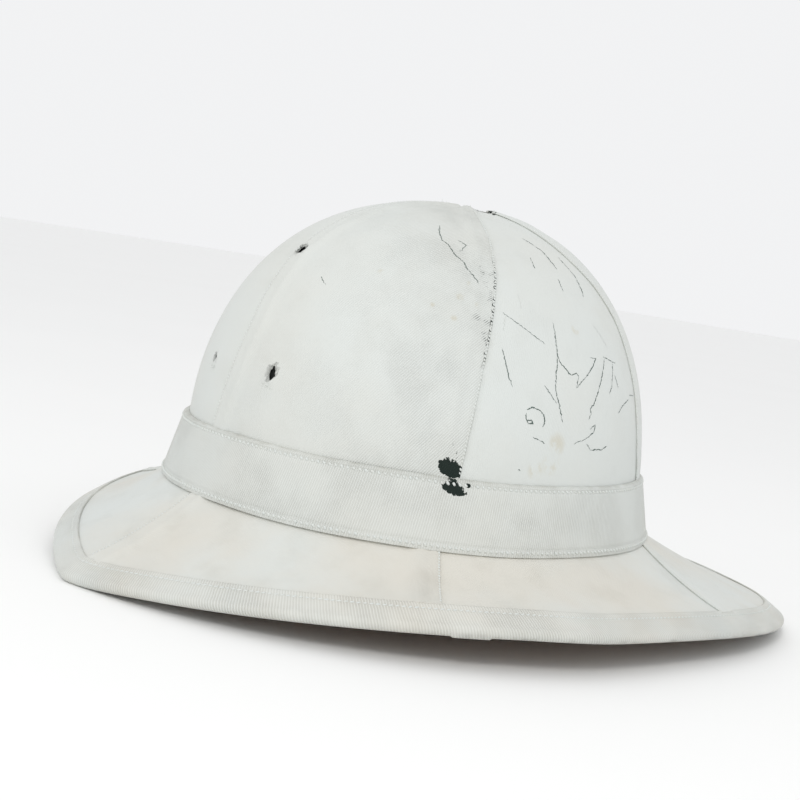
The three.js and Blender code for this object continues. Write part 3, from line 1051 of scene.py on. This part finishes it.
# %% Paint cracks
def crown_relief(turn, down):
    """Height of the cloth at a place, laps and swell included."""
    for k in range(6):
        lo, hi = seam_turn(k, down), seam_turn(k + 1, down)
        if lo <= turn < hi:
            mm = np.linalg.norm(crown(turn + 0.5, down) - crown(turn - 0.5, down))
            near = min(turn - lo, hi - turn) * mm
            return (lap_relief(near) if k % 2 == 0 else 0.0) + wander(turn, down, 0.12, 13)
    return 0.3


CRACKS = [
    (0.38, [(38.5, 55), (40.5, 61), (43, 65), (46.5, 67), (51, 72), (54, 73.5), (55.5, 76), (59, 80), (60.5, 83)]),
    (0.3, [(49.5, 61), (53.5, 62), (51.5, 68)]),
    (0.3, [(13.5, 105), (16.5, 108)]),
    (0.4, [(92.5, 38), (96, 42), (99.5, 47), (100, 58)]),
    (0.42, [(109, 50), (110, 62), (107, 73)]),
    (0.34, [(88, 53.5), (87.5, 61)]),
    (0.34, [(97, 64), (96.5, 71)]),
    (0.32, [(70, 92), (78, 96), (84.5, 100)]),
    (0.45, [(88.5, 89), (88.5, 104), (89.5, 107), (92, 111), (94, 109.5), (94.5, 111), (93.5, 116), (100, 106), (102, 102), (99.5, 102)]),
    (0.42, [(88.5, 104), (87.5, 115), (87.5, 119), (88.5, 123), (90, 131)]),
    (0.3, [(84, 118), (88, 124)]),
    (0.36, [(70.5, 108), (72.5, 116), (73.5, 120), (74.5, 122.5)]),
    (0.36, [(105.5, 101), (112, 104)]),
    (0.5, [(106, 102), (99.5, 121.5), (98, 124), (98.5, 126), (97.5, 128)]),
    (0.42, [(98, 132), (100, 130), (99.5, 133), (97, 136)]),
    (0.4, [(110, 104), (107.5, 114), (106, 117)]),
    (0.3, [(110, 109), (111, 114.5)]),
    (0.36, [(117.5, 118), (121, 119)]),
    (0.4, [(116.5, 120), (112.5, 122), (110, 125)]),
    (0.36, [(82, 139.5), (85.5, 140.6)]),
    (0.5, [(97.5, 138), (99, 140.5), (101, 140), (103, 140), (105, 138.4)]),
    (0.25, [(93.5, 138.5), (97, 136)]),
    (0.5, [(79.3, 153), (79.8, 153.4)]),
    (0.6, [(79.4, 129.5), (80.6, 128.2), (82.4, 128.0), (84.2, 129.4), (84.8, 132), (84.4, 134.6)]),
    (0.6, [(79.3, 131), (79.2, 133), (80.2, 134.8), (81.6, 134.4), (80.8, 133.2), (79.8, 133.6)]),
]


def crack(width, bends, lift=0.07):
    legs = np.array(bends, float)
    mm = np.linalg.norm(crown(legs[0, 0] + 0.5, legs[0, 1]) - crown(legs[0, 0] - 0.5, legs[0, 1]))
    flat = legs * (mm, 1)
    far = np.concatenate([[0], np.cumsum(np.linalg.norm(np.diff(flat, axis=0), axis=1))])
    n = max(int(far[-1] / 0.5), 4)
    at = np.linspace(0, far[-1], n)
    x, y = np.interp(at, far, flat[:, 0]), np.interp(at, far, flat[:, 1])
    shake = np.array([random.gauss(0, 0.14) for _ in range(2 * n)])
    x, y = x + shake[:n], y + shake[n:]
    dx, dy = np.gradient(x), np.gradient(y)
    length = np.hypot(dx, dy) + 1e-9
    rough = np.array([random.choice((0.25, 0.6, 0.9, 1.1)) for _ in range(n)])
    half = width / 2 * rough * np.minimum(1, np.sin(np.linspace(0.12, math.pi - 0.12, n)) * 2.5)
    rows = []
    for side in (-1, 1):
        a, b = (x - side * dy / length * half) / mm, y + side * dx / length * half
        up = np.array([crown_relief(t, d) for t, d in zip(a, b)]) + lift
        rows.append(crown(a, b) + crown_out(a, b) * up[:, None])
    ob = sheet_grid(n, 2)
    move_points(ob, np.stack(rows, axis=1))
    return ob


def draw(name, lines, finish, lift):
    """Lays every line of a list and joins them as one piece."""
    strips = [crack(width, bends, lift) for width, bends in lines]
    only(strips[0])
    for ob in strips:
        ob.select_set(True)
    bpy.ops.object.join()
    keep(bpy.context.object, name, finish, "crown_cloth")
    print(name, len(bpy.context.object.data.polygons), "faces")


draw("paint_cracks", CRACKS, crack_finish, 0.07)
# lines where the top coat was only scored, and the dark torn cloth by the top
SCORES = [(0.4, [(71, 93.6), (70.5, 100)]), (0.45, [(105, 86), (109.5, 97)]), (0.35, [(76, 80), (77, 87)])]
TEARS = [
    (1.5, [(36, 10.5), (60, 10), (92, 9.6), (138, 9.6)]), (1.2, [(5.5, 17.5), (9.5, 17)]),
    (1.0, [(62, 13), (78, 12.4)]), (0.9, [(-4, 19), (-1, 18)]), (1.1, [(100, 12.5), (120, 11.8)]),
]
draw("paint_scores", SCORES, thread_finish, 0.07)
draw("torn_edge", TEARS, dark_finish, 0.1)

# %% [markdown]
# ## Frayed threads
#
# Where the cloth is torn, at the top and at the holes, loose threads stand up. Each is
# a thin four-sided spike, made once and set at many angles.

# %% Frayed threads
def spikes(turn, down, count, spread, length, seed):
    rng = np.random.default_rng(seed)
    t = turn + rng.uniform(-1, 1, count) * spread[0]
    d = down + rng.uniform(-1, 1, count) * spread[1]
    n = crown_out(t, d)
    lean = n * 0.55 + rng.normal(0, 0.55, (count, 3))
    lean /= np.linalg.norm(lean, axis=1, keepdims=True)
    side = np.cross(lean, [0.3, 0.5, 0.8])
    side /= np.linalg.norm(side, axis=1, keepdims=True)
    far = rng.uniform(0.5, 1, (count, 1)) * length
    relief = np.array([crown_relief(a, b) for a, b in zip(t % 360 - 360 * (t % 360 > 358), d)])
    middle = crown(t, d) + n * relief[:, None] + lean * far / 2 * 0.8
    return middle, np.stack([side * 0.16, np.cross(lean, side) * 0.16, lean * far / 2], axis=2)


def spike_shape():
    bpy.ops.object.select_all(action="DESELECT")
    bpy.ops.mesh.primitive_cone_add(vertices=4, radius1=1, radius2=0.2, depth=2)
    return bpy.context.object


white = [
    spikes(-4, 17, 26, (9, 3.5), 1.9, 1), spikes(60, 11, 16, (30, 1.2), 1.1, 2),
    spikes(200, 11, 34, (120, 1.2), 1.1, 3), spikes(-2.6, 95, 6, (0.3, 1.5), 1.0, 4),
    spikes(-12.2, 152.2, 16, (1.0, 1.6), 1.3, 5), spikes(11.4, 153.6, 20, (1.5, 1.8), 1.4, 6),
]
stamp("frayed_threads", spike_shape(), white, thread_finish, "crown_cloth")
